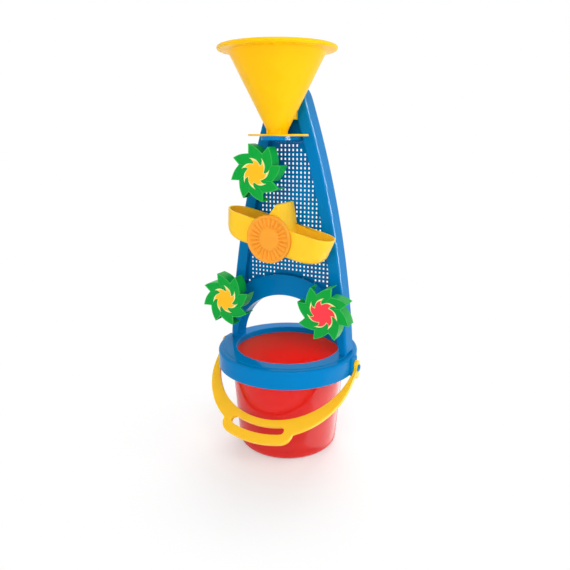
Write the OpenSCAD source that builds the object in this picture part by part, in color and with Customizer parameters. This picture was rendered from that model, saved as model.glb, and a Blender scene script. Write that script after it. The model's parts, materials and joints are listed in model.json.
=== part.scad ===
// Sand wheel toy: a bucket, a tower with a funnel, three pinwheels and a tipping double scoop.
// Millimetres. X runs to the right, Y to the back and Z up, from the middle of the bucket's base.

/* [Bucket] */
// Room between the bucket's rim and the collar's skirt
rim_room = 11.2; // [8:0.2:14]
// How far the bucket's beaded rim stands out of its wall
rim_w = 2.4; // [1.6:0.1:3.2]
// Height of the bucket's beaded rim
rim_h = 6; // [5:0.5:9]
// How much narrower the bucket is at its base than under its rim, on each side
bucket_taper = 9.5; // [5:0.5:14]
// Height of the bucket
bucket_h = 132; // [115:1:150]
// Wall of the bucket
bucket_wall = 2.2; // [1.8:0.1:2.8]
// Rounding of the bucket's lower edge
bucket_edge_r = 9; // [5:0.5:12]
// Depth of the ring groove under the bucket's base
base_groove = 1.2; // [0.8:0.1:2]

/* [Collar] */
// Outer radius of the collar
collar_r = 91; // [76:0.5:105]
// Height of the collar's outer skirt
collar_skirt = 24; // [20:1:28]
// Wall of the collar
collar_wall = 2.4; // [1.8:0.1:3]
// Room between the collar's lip and the bucket's wall
lip_room = 3.4; // [1:0.2:6]
// Height of the lip round the opening
collar_lip = 8; // [5:0.5:12]
// How far the handle bosses stand out of the collar
boss_out = 3; // [2:0.5:8]
// Width of a handle boss
boss_w = 17; // [14:1:26]

/* [Tower] */
// Width of the tower across its feet
tower_foot_w = 168; // [150:1:172]
// Height of the tower above the collar
tower_rise = 327; // [310:1:345]
// Radius of the tower's curved sides
tower_side_r = 1195; // [1000:5:1600]
// Radius of the tower's rounded top
tower_apex_r = 24; // [20:0.5:28]
// Depth of the tower from front to back
tower_depth = 24; // [20:1:26]
// Distance of the tower's middle behind the bucket's axis
tower_set_back = 6; // [4:0.5:8]
// Wall of the tower
tower_wall = 2.4; // [1.8:0.1:3]
// Width of the flange round the window
flange_w = 15; // [12:0.5:17]
// Depth of the recess in front of the screen
recess_depth = 8; // [5:0.5:10]
// Width of each leg at its foot
leg_w = 9.3; // [8:0.1:13]
// Height of the arch
arch_h = 68; // [62:1:72]
// Band between the arch and the screen
arch_band = 27; // [22:1:32]

/* [Screen] */
// Distance from one hole to the next
hole_pitch = 5.3; // [5:0.1:7]
// Side of a square hole
hole_size = 2.75; // [2:0.05:3.4]
// Thickness of the screen
screen_t = 2; // [1.6:0.1:2.6]
// Height of the screen's top above the collar
screen_rise = 258.5; // [245:0.5:262]

/* [Funnel] */
// Outer radius of the funnel's rim
funnel_r = 67.4; // [60:0.2:72]
// Height of the funnel above its shelf
funnel_h = 96.5; // [88:0.5:105]
// Radius of the cone under the flared lip
funnel_mouth_r = 55; // [50:0.5:58]
// Outer radius of the funnel's neck
funnel_neck_r = 12; // [11:0.2:14]
// Height of the funnel's neck
neck_h = 8; // [6:0.5:10]
// Height of the flared lip
funnel_lip_h = 7.5; // [6:0.5:9]
// Wall of the funnel
funnel_wall = 2; // [1.6:0.1:2.4]
// Half the length of the pointed foot plate
foot_plate_l = 39.7; // [34:0.5:44]
// Half the width of the pointed foot plate
foot_plate_w = 17; // [15:0.5:18]
// Height of the funnel's shelf above the collar
shelf_rise = 265.6; // [264:0.2:272]
// Distance of the funnel's axis in front of the bucket's axis
funnel_out = 28; // [27:0.5:32]

/* [Pinwheels] */
// Radius to the tips of the vanes
vane_tip_r = 34.5; // [30:0.5:36]
// Radius to the valleys between the vanes
vane_valley_r = 24; // [21:0.5:26]
// Depth of the vanes from front to back
vane_depth = 17; // [14:0.5:22]
// Thickness of a vane
vane_t = 1.8; // [1.4:0.1:2.4]
// Thickness of a pinwheel's front plate
rotor_plate_t = 2.4; // [2:0.1:3.2]
// Radius to the tips of the star
star_tip_r = 19.3; // [17:0.1:21]
// Radius to the valleys of the star
star_valley_r = 12; // [10:0.1:14]
// Thickness of the star
star_t = 1; // [0.8:0.1:1.6]
// Distance of the pinwheels' front faces in front of the bucket's axis
wheel_out = 45; // [43:0.5:48]
// Distance of the two lower pinwheels' axles in from the ends of the tower's feet
lower_wheel_in = 17; // [15:0.5:19]
// Height of the two lower pinwheels above the collar
lower_wheel_rise = 64; // [60:0.5:68]
// Radius of the pad that carries the upper pinwheel, close to the flange on the left
upper_pad_r = 11.8; // [10:0.2:12.4]
// Radius of the pads that carry the lower pinwheels, on the legs
leg_pad_r = 9; // [8:0.2:10]
// Height of the upper pinwheel above the collar
upper_wheel_rise = 224; // [223:0.5:226]
// Radius of the pinwheel axles
axle_r = 2.5; // [2:0.1:3]
// Thickness of the pads that carry the axles
pad_t = 2.4; // [2:0.1:3]
// How much thicker an axle's post is than its pin, at its foot
post_foot = 5; // [4.4:0.1:5.4]
// How much thicker an axle's post is than its pin, at its shoulder
post_shoulder = 3.4; // [2.8:0.1:4]
// Length of an axle's snap head
snap_l = 2.2; // [1.8:0.1:2.6]
// How far the snap head stands out of the pin
snap_barb = 0.7; // [0.5:0.05:0.9]
// Width of the slit through the snap head
slit_w = 1.2; // [0.8:0.1:1.6]
// Depth of the slit below the snap head
slit_l = 5; // [4:0.5:7]
// Depth of the pocket for the snap head
counterbore = 3.2; // [3:0.1:4]
// Room round the snap head
counterbore_room = 1.4; // [1.2:0.1:1.8]

/* [Rocker] */
// Half the length of the rocker at its rim
rocker_l = 71; // [64:0.5:76]
// Height of the rocker's rim above its axle
rocker_rim = 17; // [15:0.5:19]
// Depth of the rocker's bottom below its axle
rocker_drop = 16; // [14:0.5:20]
// Rounding between the bottom and the ends of the rocker
scoop_round = 15; // [10:0.5:17]
// Lean of the rocker's ends
scoop_lean = 11; // [6:1:16]
// Height of the wedge's top above the axle
wedge_h = 41.5; // [36:0.5:42]
// Depth of the rocker from front to back
rocker_depth = 42; // [36:1:44]
// Wall of the rocker
rocker_wall = 2; // [1.6:0.1:2.6]
// Tilt of the rocker as it stands, right side down
rocker_tilt = 13.5; // [0:0.5:20]
// Height of the rocker's axle above the collar
rocker_rise = 149; // [146:0.5:151]
// Distance of the rocker's front in front of the bucket's axis
rocker_out = 52; // [51:0.5:56]
// Distance of the rocker's axle to the right of the middle
rocker_x = 1.5; // [-3:0.5:3]
// Radius of the rocker's axle
rocker_axle_r = 3; // [2.5:0.1:3.5]
// Radius of the pad that carries the rocker
rocker_pad_r = 16; // [13:0.5:18]
// Radius of the fluted disc
disc_r = 28.5; // [25:0.5:32]
// Thickness of the fluted disc
disc_t = 5; // [4:0.1:6]
// Number of flutes on the disc
flutes = 24; // [16:1:30]

/* [Handle] */
// Gap between the handle and the collar as it swings past
handle_gap = 3; // [1.5:0.1:4]
// Thickness of the handle
handle_t = 5; // [4:0.2:6]
// Angle of the handle from straight down, as it rests
handle_tilt = 53; // [52:0.5:60]
// Drop of the loop's inner curve below the pivot
loop_drop = 2; // [1:0.1:3]
// Width of the tabs that the handle turns on
tab_w = 10.4; // [10:0.2:13]
// Reach of the tabs above the pivot
tab_up = 10; // [8:0.5:12]
// Reach of the tabs below the pivot
tab_down = 14; // [11:0.5:16]
// How far the tabs are set to the front of the pivot
tab_fore = 0.8; // [0:0.1:1]
// Thickness of the handle's tabs
eye_t = 4.2; // [3.4:0.1:5]
// Length of the hand slot
slot_l = 73; // [60:1:80]
// Height of the hand slot
slot_h = 10.5; // [8:0.5:13]
// Height of the bar above the hand slot
grip_bar = 10.5; // [8:0.5:13]
// Height of the bar below the hand slot
grip_low_bar = 12; // [9:0.5:14]
// How far the grip reaches past the ends of the hand slot
grip_past = 11; // [8:0.5:14]
// Drop of the band's outer curve below the pivot
band_drop = 20; // [16:0.5:24]
// Radius of the handle's pegs
peg_r = 3; // [2.4:0.1:3.6]
// How far the heads of the pegs stand out round them
peg_head_w = 1.4; // [1:0.1:2]
// Thickness of the heads of the pegs
peg_head_t = 2; // [1.6:0.1:2.6]
// How far the pegs reach inside the collar's skirt
peg_in = 3; // [2:0.5:4]
// Distance of the handle's pivot below the collar's top
pivot_drop = 15.4; // [14:0.2:16]

/* [Fits] */
// Radial clearance of everything that turns on a pin
run_clearance = 0.05; // [0.02:0.01:0.1]
// Gap between pieces that sit on one another
seat = 0.05; // [0.02:0.01:0.1]
// Side gap between moving pieces
side_gap = 0.4; // [0.3:0.05:0.6]

/* [Hidden] */
$fn = 96;

blue = "#0a74c0";
yellow = "#fcc80f";
green = "#14a746";
red = "#dc2a2c";
orange = "#f59a35";
star_yellow = "#fcc02c";
star_red = "#f84552";

// Heights
collar_top = bucket_h + seat + collar_wall;
collar_bottom = collar_top - collar_skirt;
foot_z = collar_top + seat;
pivot_z = collar_top - pivot_drop;
screen_top = foot_z + screen_rise;
shelf_z = foot_z + shelf_rise;
lower_wheel_z = foot_z + lower_wheel_rise;
upper_wheel_z = foot_z + upper_wheel_rise;
rocker_z = foot_z + rocker_rise;

// Radii
bucket_rim_r = collar_r - collar_wall - rim_room;
bucket_top_r = bucket_rim_r - rim_w;
bucket_base_r = bucket_top_r - bucket_taper;
collar_open_r = bucket_top_r - bucket_wall - lip_room - collar_wall;

// Depths, along Y
tower_front = tower_set_back - tower_depth / 2;
tower_back = tower_front + tower_depth;
screen_front = tower_front + recess_depth;
wheel_front = -wheel_out;
rocker_front = -rocker_out;
funnel_y = -funnel_out;

// The tower's side is an arc through the foot that runs into the rounded top without a kink
apex_z = foot_z + tower_rise - tower_apex_r;
chord = [-tower_foot_w / 2, apex_z - foot_z];
chord_l = norm(chord);
chord_u = chord / chord_l;
side_in = tower_side_r - tower_apex_r;
along = (tower_side_r^2 - side_in^2 + chord_l^2) / (2 * chord_l);
across = sqrt(tower_side_r^2 - along^2);
side_c = [tower_foot_w / 2, foot_z] + along * chord_u + across * [-chord_u[1], chord_u[0]];

// Half the tower's width at a height, drawn in by an inset
function half_w(z, inset) = side_c[0] + sqrt((tower_side_r - inset)^2 - (z - side_c[1])^2);

// The lower pinwheels stand on the legs, and the upper one beside the flange
lower_wheel_x = tower_foot_w / 2 - lower_wheel_in;
upper_wheel_x = half_w(upper_wheel_z, flange_w + upper_pad_r + side_gap);

// Points along an arc
function arc(c, r, a0, a1, n) =
    [for (i = [0:n]) c + r * [cos(a0 + (a1 - a0) * i / n), sin(a0 + (a1 - a0) * i / n)]];

// Stands a flat outline upright, from one depth to another
module upright(y0, y1) {
    translate([0, y1, 0])
        rotate([90, 0, 0])
            linear_extrude(y1 - y0)
                children();
}

// BUCKET

// A turned section with a ring groove under the base and a beaded rim
module bucket() {
    slope = (bucket_top_r - bucket_base_r) / bucket_h;
    groove_r = bucket_base_r - bucket_edge_r - 6;
    rim_round = rim_h / 2;
    top_round = bucket_wall;
    groove_w = 7;
    inner_edge_r = bucket_edge_r - bucket_wall + 1;
    inner_floor = bucket_wall + base_groove;
    inner_base = bucket_base_r - bucket_wall + slope * inner_floor;
    color(red)
        rotate_extrude()
            polygon(concat(
                [[0, 0], [groove_r - groove_w - base_groove, 0], [groove_r - groove_w, base_groove],
                 [groove_r, base_groove], [groove_r + base_groove, 0]],
                arc([bucket_base_r - bucket_edge_r + slope, bucket_edge_r], bucket_edge_r, -90, 0, 8),
                [[bucket_top_r - slope * (rim_h + rim_w), bucket_h - rim_h - rim_w],
                 [bucket_rim_r, bucket_h - rim_h]],
                arc([bucket_rim_r - rim_round, bucket_h - rim_round], rim_round, 0, 90, 6),
                arc([bucket_top_r - bucket_wall + top_round, bucket_h - top_round], top_round, 90, 180, 4),
                arc([inner_base - inner_edge_r, inner_floor + inner_edge_r], inner_edge_r, 0, -90, 6),
                [[0, inner_floor]]));
}

// COLLAR

// How far the handle bosses hang below the skirt
boss_low = 1;

// Places that lie to the left and to the right of the middle
module both_sides() {
    children();
    mirror([1, 0, 0]) children();
}

// The tenon under each leg, which drops into a slot in the collar
tenon = [4.4, 14, 8];
tenon_x = tower_foot_w / 2 - 5.4;

module tenon_block(gap) {
    translate([tenon_x - gap, tower_front + tower_depth / 2 - tenon[1] / 2 - gap, collar_top - tenon[2]])
        cube([tenon[0] + 2 * gap, tenon[1] + 2 * gap, tenon[2] + 3]);
}

module collar() {
    round_r = 4;
    inner_r = round_r - 1.6;
    boss_root = 8;
    color(blue)
        difference() {
            union() {
                rotate_extrude()
                    polygon(concat(
                        [[collar_open_r, collar_top - collar_lip],
                         [collar_open_r + collar_wall - 0.6, collar_top - collar_lip],
                         [collar_open_r + collar_wall, collar_top - collar_wall],
                         [collar_r - collar_wall - inner_r, collar_top - collar_wall]],
                        arc([collar_r - collar_wall - inner_r, collar_top - collar_wall - inner_r],
                            inner_r, 90, 0, 4),
                        [[collar_r - collar_wall, collar_bottom],
                         [collar_r, collar_bottom]],
                        arc([collar_r - round_r, collar_top - round_r], round_r, 0, 90, 6),
                        arc([collar_open_r + 1.2, collar_top - 1.2], 1.2, 90, 180, 3)));
                both_sides()
                    difference() {
                        translate([collar_r - boss_root, -boss_w / 2, collar_bottom - boss_low])
                            cube([boss_out + boss_root, boss_w, collar_skirt - boss_low]);
                        translate([0, 0, collar_bottom - 2 * boss_low])
                            cylinder(r = collar_r - collar_wall, h = collar_skirt + boss_low);
                    }
            }
            both_sides() {
                tenon_block(seat);
                translate([collar_r - boss_root, 0, pivot_z])
                    rotate([0, 90, 0])
                        cylinder(r = peg_r + seat, h = boss_root + boss_out + 1);
            }
        }
}

// TOWER

// The tower's outline, drawn in by an inset
module ogive(inset) {
    tangent_z = apex_z + (tower_apex_r - inset) * (apex_z - side_c[1]) / side_in;
    intersection() {
        translate(side_c)
            circle(r = tower_side_r - inset, $fn = 720);
        translate([-side_c[0], side_c[1]])
            circle(r = tower_side_r - inset, $fn = 720);
        translate([-tower_foot_w, foot_z])
            square([2 * tower_foot_w, tangent_z - foot_z]);
    }
    intersection() {
        translate([0, apex_z])
            circle(r = tower_apex_r - inset);
        translate([-tower_foot_w, tangent_z])
            square([2 * tower_foot_w, 2 * tower_apex_r]);
    }
}

// The arch between the legs, a circle through their inner edges at the foot, grown by a margin
arch_half = tower_foot_w / 2 - leg_w;
arch_r = (arch_half^2 + arch_h^2) / (2 * arch_h);
arch_z = foot_z + arch_h - arch_r;

module arch(grow) {
    translate([0, arch_z])
        circle(r = arch_r + grow, $fn = 180);
}

// The window that the flange frames, drawn in by an inset
module window(inset) {
    difference() {
        ogive(flange_w + inset);
        arch(arch_band + inset);
    }
}

// The space that the funnel's cone nests in, grown by a margin
module funnel_nest(grow) {
    cone_h = funnel_h - funnel_lip_h - neck_h;
    nest_h = cone_h - 11;
    steep = (funnel_mouth_r - funnel_neck_r) / cone_h;
    translate([0, funnel_y, shelf_z])
        rotate_extrude()
            polygon([[0, neck_h], [funnel_neck_r + grow, neck_h],
                [funnel_neck_r + grow + steep * nest_h, neck_h + nest_h], [0, neck_h + nest_h]]);
}

// The shelf that carries the funnel
shelf_t = 4.5;
spout_r = 10;
shelf_r = 19;

module shelf() {
    translate([0, 0, shelf_z - seat - shelf_t])
        linear_extrude(shelf_t)
            union() {
                translate([0, funnel_y])
                    circle(r = shelf_r);
                translate([-shelf_r, funnel_y])
                    square([2 * shelf_r, screen_front + 1 - funnel_y]);
            }
}

spigot_r = 4;

module tower() {
    nest_gap = 1.5;
    foot_plate = 2.6;
    color(blue)
        difference() {
            union() {
                difference() {
                    upright(tower_front, tower_back)
                        difference() {
                            ogive(0);
                            arch(0);
                        }
                    upright(tower_front - 1, screen_front)
                        window(0);
                    upright(screen_front + screen_t, tower_back + 1)
                        difference() {
                            ogive(tower_wall);
                            arch(tower_wall);
                            translate([-tower_foot_w, foot_z - 1])
                                square([2 * tower_foot_w, foot_plate + 1]);
                        }
                    upright(tower_front + tower_wall, screen_front + screen_t + 1)
                        difference() {
                            ogive(tower_wall);
                            arch(tower_wall);
                            window(-tower_wall);
                            translate([-tower_foot_w, foot_z - 1])
                                square([2 * tower_foot_w, foot_plate + 1]);
                        }
                    upright(screen_front, screen_front + screen_t + 1)
                        intersection() {
                            window(-tower_wall);
                            translate([-tower_foot_w, foot_z])
                                square([2 * tower_foot_w, screen_rise]);
                        }
                }
                intersection() {
                    funnel_nest(nest_gap + tower_wall);
                    upright(tower_front, tower_back)
                        ogive(0);
                }
                shelf();
                both_sides()
                    tenon_block(0);
            }
            funnel_nest(nest_gap);
            translate([0, funnel_y, shelf_z - shelf_t - 1])
                cylinder(r = spout_r + seat, h = shelf_t + 2);
            both_sides()
                translate([lower_wheel_x, tower_front + tower_wall + 1, lower_wheel_z])
                    rotate([90, 0, 0])
                        cylinder(r = spigot_r + seat, h = tower_wall + 2);
        }
}

// SCREEN

// Whether a hole keeps clear of one of the solid pads that carry the axles
function clear_of(x, z, cx, cz, r) = norm([x - cx, z - cz]) > r + hole_size * 0.72;

// Whether a hole at a place lies wholly inside the window
function hole_fits(x, z) =
    let (h = hole_size / 2,
         edge = 0.8,
         corner = max(0, z + h - (screen_top - 13)) * 0.75)
    z + h < screen_top - 2.2
    && abs(x) + h + edge + corner < half_w(z + h, flange_w)
    && above_arch(abs(x), z - h - edge)
    && clear_of(x, z, -upper_wheel_x, upper_wheel_z, upper_pad_r)
    && clear_of(x, z, rocker_x, rocker_z, rocker_pad_r);

// Whether a point lies over the curved band above the arch
function above_arch(x, z) = norm([x, z - arch_z]) > arch_r + arch_band;

module screen() {
    rows = floor(screen_rise / hole_pitch);
    columns = floor(tower_foot_w / 2 / hole_pitch);
    color(blue)
        upright(screen_front + seat, screen_front + screen_t)
            difference() {
                intersection() {
                    window(-tower_wall + seat);
                    translate([-tower_foot_w, foot_z])
                        square([2 * tower_foot_w, screen_rise - seat]);
                }
                for (j = [0:rows], i = [-columns:columns])
                    let (x = i * hole_pitch, z = screen_top - 4 - j * hole_pitch)
                        if (hole_fits(x, z))
                            translate([x, z])
                                square(hole_size, center = true);
                translate([-upper_wheel_x, upper_wheel_z])
                    circle(r = spigot_r + seat);
                translate([rocker_x, rocker_z])
                    circle(r = spigot_r + seat);
            }
}

// FUNNEL

// Half the funnel's section, from the spout in the shelf up to the rolled lip
module funnel_section() {
    spout_l = 3.6;
    bead = 1.6;
    mouth_z = funnel_h - funnel_lip_h;
    polygon(concat(
        [[spout_r - funnel_wall, -spout_l],
         [spout_r, -spout_l],
         [spout_r, 0],
         [funnel_neck_r, 0],
         [funnel_neck_r, neck_h],
         [funnel_mouth_r, mouth_z],
         [funnel_r - bead, funnel_h - 2 * bead - 1.2]],
        arc([funnel_r - bead, funnel_h - bead], bead, -70, 110, 6),
        [[funnel_mouth_r - 0.6, mouth_z + funnel_wall + 0.4],
         [funnel_neck_r - funnel_wall, neck_h + 0.8],
         [funnel_neck_r - funnel_wall, 3],
         [spout_r - funnel_wall, 1]]));
}

// A fin at the back of the cone that leans on the tower's flange
module funnel_fin(x) {
    fin_t = 3;
    fin_low = 18.5;
    translate([x + fin_t / 2, funnel_y, shelf_z])
        rotate([90, 0, -90])
            linear_extrude(fin_t)
                polygon([[-10, fin_low], [funnel_y - tower_front + side_gap, fin_low],
                    [funnel_y - tower_front + side_gap, fin_low + 11], [-10, fin_low + 11]]);
}

module funnel() {
    fin_x = 14;
    plate_t = 2.2;
    oval_r = (foot_plate_l^2 + foot_plate_w^2) / (2 * foot_plate_w);
    color(yellow)
        union() {
            translate([0, funnel_y, shelf_z])
                rotate_extrude()
                    funnel_section();
            translate([0, funnel_y, shelf_z])
                linear_extrude(plate_t)
                    difference() {
                        intersection() {
                            translate([0, oval_r - foot_plate_w])
                                circle(r = oval_r, $fn = 180);
                            translate([0, foot_plate_w - oval_r])
                                circle(r = oval_r, $fn = 180);
                        }
                        circle(r = funnel_neck_r - funnel_wall / 2);
                    }
            difference() {
                for (x = [-fin_x, fin_x])
                    funnel_fin(x);
                funnel_nest(-funnel_wall / 2);
            }
            for (a = [-50, -130])
                translate([0, funnel_y, shelf_z + 1])
                    rotate([0, 0, a])
                        translate([funnel_neck_r - 1, -1, 0])
                            cube([2.6, 2, neck_h]);
        }
}

// AXLES

// The spigot goes right through the wall that it sits in
spigot_l = 2;

// A stub axle: a spigot behind, a pad, a post up to the hub, the pin and a split snap head
module stub_axle(x, y_face, z, y_hub, hub_l, pin_r, pad_r) {
    pad_edge = 0.8;
    post = y_face - y_hub - side_gap;
    pin_end = post + hub_l - counterbore + 2 * side_gap;
    color(blue)
        translate([x, y_face - seat, z])
            rotate([90, 0, 0])
                difference() {
                    rotate_extrude()
                        polygon([[0, -spigot_l], [spigot_r, -spigot_l], [spigot_r, 0],
                            [pad_r, 0], [pad_r, pad_t - pad_edge], [pad_r - pad_edge, pad_t],
                            [pin_r + post_foot, pad_t], [pin_r + post_shoulder, post], [pin_r, post],
                            [pin_r, pin_end], [pin_r + snap_barb, pin_end],
                            [pin_r - snap_barb, pin_end + snap_l], [0, pin_end + snap_l]]);
                    translate([-slit_w / 2, -pad_r, pin_end - slit_l])
                        cube([slit_w, 2 * pad_r, slit_l + 2 * snap_l]);
                }
}

module axle_upper() {
    stub_axle(-upper_wheel_x, screen_front, upper_wheel_z, wheel_front + vane_depth, vane_depth,
        axle_r, upper_pad_r);
}

module axle_left() {
    stub_axle(-lower_wheel_x, tower_front, lower_wheel_z, wheel_front + vane_depth, vane_depth,
        axle_r, leg_pad_r);
}

module axle_right() {
    stub_axle(lower_wheel_x, tower_front, lower_wheel_z, wheel_front + vane_depth, vane_depth,
        axle_r, leg_pad_r);
}

module axle_rocker() {
    stub_axle(rocker_x, screen_front, rocker_z, rocker_front + rocker_depth, rocker_depth,
        rocker_axle_r, rocker_pad_r);
}

// PINWHEELS

vanes = 8;
tip_lead = 38;
hub_r = 6.5;

// A point in polar form
function polar(r, a) = r * [cos(a), sin(a)];

// The long bowed edge of one vane, from its valley to its tip
function vane_edge(a, n) =
    let (p = polar(vane_valley_r, a),
         q = polar(vane_tip_r, a + tip_lead),
         m = [q[1] - p[1], p[0] - q[0]] / norm(q - p))
    [for (i = [0:n]) p + (q - p) * i / n + m * 1.6 * sin(180 * i / n)];

// The saw-toothed front plate's outline
function rotor_outline(n) =
    [for (k = [0:vanes - 1]) each vane_edge(k * 360 / vanes, n)];

// The curve of a vane's outer face, from the hub to its tip
vane_root = hub_r - 1.5;
vane_lag = 30;

function vane_path(n) =
    concat([for (i = [0:n - 1])
        polar(vane_root + (vane_valley_r - vane_root) * i / n, vane_lag * ((i / n)^0.8 - 1))],
        vane_edge(0, n));

// One vane's section, a band of even thickness inside that curve
module vane(n) {
    path = vane_path(n);
    last = len(path) - 1;
    inner = [for (i = [0:last])
        let (d = path[min(i + 1, last)] - path[max(i - 1, 0)],
             t = i == last ? 0.5 : vane_t)
        path[i] + t * [-d[1], d[0]] / norm(d)];
    polygon(concat(path, [for (i = [last:-1:0]) inner[i]]));
}

// A pinwheel facing the front, with its front face at depth zero
module rotor_shape() {
    rotate([90, 0, 0])
        translate([0, 0, -vane_depth])
            difference() {
                union() {
                    translate([0, 0, vane_depth - rotor_plate_t])
                        linear_extrude(rotor_plate_t)
                            polygon(rotor_outline(5));
                    linear_extrude(vane_depth)
                        for (k = [0:vanes - 1])
                            rotate(k * 360 / vanes)
                                vane(5);
                    cylinder(r = hub_r, h = vane_depth);
                }
                translate([0, 0, -1])
                    cylinder(r = axle_r + run_clearance, h = vane_depth + 2);
                translate([0, 0, vane_depth - counterbore])
                    cylinder(r = axle_r + counterbore_room, h = counterbore + 1);
            }
}

// A pinwheel's place, turned by a phase and handed by a side
module wheel_at(x, z, phase, side) {
    translate([x, wheel_front, z])
        mirror([side < 0 ? 1 : 0, 0, 0])
            rotate([0, -phase, 0])
                children();
}

upper_phase = -22.6;
left_phase = -19.5;
right_phase = -19.8;

module rotor_upper() {
    color(green)
        wheel_at(-upper_wheel_x, upper_wheel_z, upper_phase, 1)
            rotor_shape();
}

module rotor_left() {
    color(green)
        wheel_at(-lower_wheel_x, lower_wheel_z, left_phase, 1)
            rotor_shape();
}

module rotor_right() {
    color(green)
        wheel_at(lower_wheel_x, lower_wheel_z, right_phase, -1)
            rotor_shape();
}

spikes = 7;
spike_lead = 10.9;

// One spike of the star: a long bowed edge out to the tip and a short hollow edge back
function spike(a, n) =
    let (step = 360 / spikes,
         p = polar(star_valley_r, a),
         q = polar(star_tip_r, a + step + spike_lead),
         e = polar(star_valley_r, a + step),
         m = [q[1] - p[1], p[0] - q[0]] / norm(q - p),
         w = [q[1] - e[1], e[0] - q[0]] / norm(q - e))
    concat([for (i = [0:n]) p + (q - p) * i / n + m * 3.4 * sin(180 * i / n)],
        [for (i = [1:2]) q + (e - q) * i / 3 + w * 1.1 * sin(60 * i)]);

module star_shape() {
    rotate([90, 0, 0])
        translate([0, 0, seat])
            linear_extrude(star_t)
                polygon([for (k = [0:spikes - 1]) each spike(k * 360 / spikes, 6)]);
}

module star_upper() {
    color(star_yellow)
        wheel_at(-upper_wheel_x, upper_wheel_z, -0.6, 1)
            star_shape();
}

module star_left() {
    color(star_yellow)
        wheel_at(-lower_wheel_x, lower_wheel_z, 29.5, 1)
            star_shape();
}

module star_right() {
    color(star_red)
        wheel_at(lower_wheel_x, lower_wheel_z, 31.4, -1)
            star_shape();
}

// ROCKER

// The slope of the wedge's faces
wedge_slope = tan(24);
wedge_top = 1.2;

// Half-width of the wedge at a height
function wedge_w(v) = wedge_top + (wedge_h - v) * wedge_slope;

// One scoop's side outline on the right, drawn in by an inset, up to a height
function scoop_end(inset, top) =
    let (lean_t = tan(scoop_lean),
         v = scoop_round - rocker_drop,
         u = rocker_l - lean_t * (rocker_rim - v) - scoop_round / cos(scoop_lean))
    concat(
        arc([u, v], scoop_round - inset, -90, -scoop_lean, 6),
        [[rocker_l + lean_t * (top - rocker_rim) - inset / cos(scoop_lean), top]]);

function flip(points) = [for (i = [len(points) - 1:-1:0]) [-points[i][0], points[i][1]]];

// Outline of the whole rocker from the front
module rocker_outline() {
    right = concat(scoop_end(0, rocker_rim), [[wedge_w(rocker_rim), rocker_rim], [wedge_top, wedge_h]]);
    polygon(concat(right, flip(right)));
}

// Outline of the hollow in the right scoop
module scoop_hollow() {
    low = -rocker_drop + rocker_wall;
    over = rocker_rim + 1;
    polygon(concat([[wedge_w(low), low]], scoop_end(rocker_wall, over), [[wedge_w(over), over]]));
}

// The rocker's outline from above, with round ends, drawn in by an inset
module rocker_plan(inset) {
    r = rocker_depth / 2 - inset;
    reach = rocker_l - rocker_depth / 2;
    for (s = [-1, 1])
        translate([s * reach, -rocker_depth / 2])
            circle(r = r);
    translate([-reach, -rocker_depth / 2 - r])
        square([2 * reach, 2 * r]);
}

module rocker() {
    rocker_hub_r = 7.5;
    under = -rocker_drop - 1;
    color(yellow)
        translate([rocker_x, rocker_front + rocker_depth, rocker_z])
            rotate([0, rocker_tilt, 0])
                difference() {
                    union() {
                        difference() {
                            intersection() {
                                upright(-rocker_depth, 0)
                                    rocker_outline();
                                translate([0, 0, -rocker_drop - 5])
                                    linear_extrude(rocker_drop + wedge_h + 10)
                                        rocker_plan(0);
                            }
                            both_sides()
                                intersection() {
                                    upright(-rocker_depth, 0)
                                        scoop_hollow();
                                    translate([0, 0, -rocker_drop])
                                        linear_extrude(rocker_drop + rocker_rim + 5)
                                            rocker_plan(rocker_wall);
                                }
                            upright(rocker_wall - rocker_depth, -rocker_wall)
                                polygon([[-wedge_w(under) + 2.4, under], [wedge_w(under) - 2.4, under],
                                    [0, wedge_h - 3.4]]);
                        }
                        upright(-rocker_depth, 0)
                            circle(r = rocker_hub_r);
                    }
                    upright(-rocker_depth - 1, 1)
                        circle(r = rocker_axle_r + run_clearance);
                    upright(-rocker_depth - 1, -rocker_depth + counterbore)
                        circle(r = rocker_axle_r + counterbore_room);
                }
}

// The fluted disc on the rocker's hub, with a plain boss in the middle
module sun_disc() {
    boss_r = disc_r * 0.45;
    rim_w = 3;
    face = disc_t - 1;
    color(orange)
        translate([rocker_x, rocker_front - seat, rocker_z])
            rotate([90, 0, 0])
                difference() {
                    rotate_extrude()
                        polygon(concat(
                            [[0, 0], [disc_r - 0.8, 0]],
                            arc([disc_r - 1.4, disc_t - 1.4], 1.4, 0, 90, 4),
                            [[disc_r - rim_w, disc_t], [disc_r - rim_w - 1, face],
                             [boss_r + 0.6, face]],
                            arc([boss_r - 1.4, face - 0.2], 1.4, 10, 90, 3),
                            [[0, disc_t]]));
                    for (k = [0:flutes - 1])
                        rotate([0, 0, k * 360 / flutes])
                            translate([boss_r + 1.4, 0, face + 0.7])
                                rotate([0, 90, 0])
                                    cylinder(r = 1.5, h = disc_r - rim_w - boss_r - 2.4, $fn = 24);
                }
}

// HANDLE

// The outline is drawn flat: X across, Y down from the pivot
loop_r = collar_r + handle_gap;
boss_face = collar_r + boss_out;
arm_x = boss_face + side_gap;
band_r = arm_x + eye_t - 1;

// The band starts clear of the boss's lower corner
boss_clear = norm([boss_w / 2, collar_skirt - pivot_drop + boss_low]) + 2;

module handle_outline() {
    difference() {
        union() {
            difference() {
                translate([0, band_drop])
                    circle(r = band_r, $fn = 180);
                translate([-band_r - 1, -band_r])
                    square([2 * band_r + 2, band_r + boss_clear]);
            }
            curved_bar(loop_r + grip_bar, slot_h + grip_low_bar, slot_l + 2 * grip_past);
            for (s = [-1, 1])
                translate([s > 0 ? arm_x : -arm_x - eye_t, 0])
                    square([eye_t, band_drop + tab_w / 2]);
        }
        translate([0, loop_drop])
            circle(r = loop_r, $fn = 180);
    }
}

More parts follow.
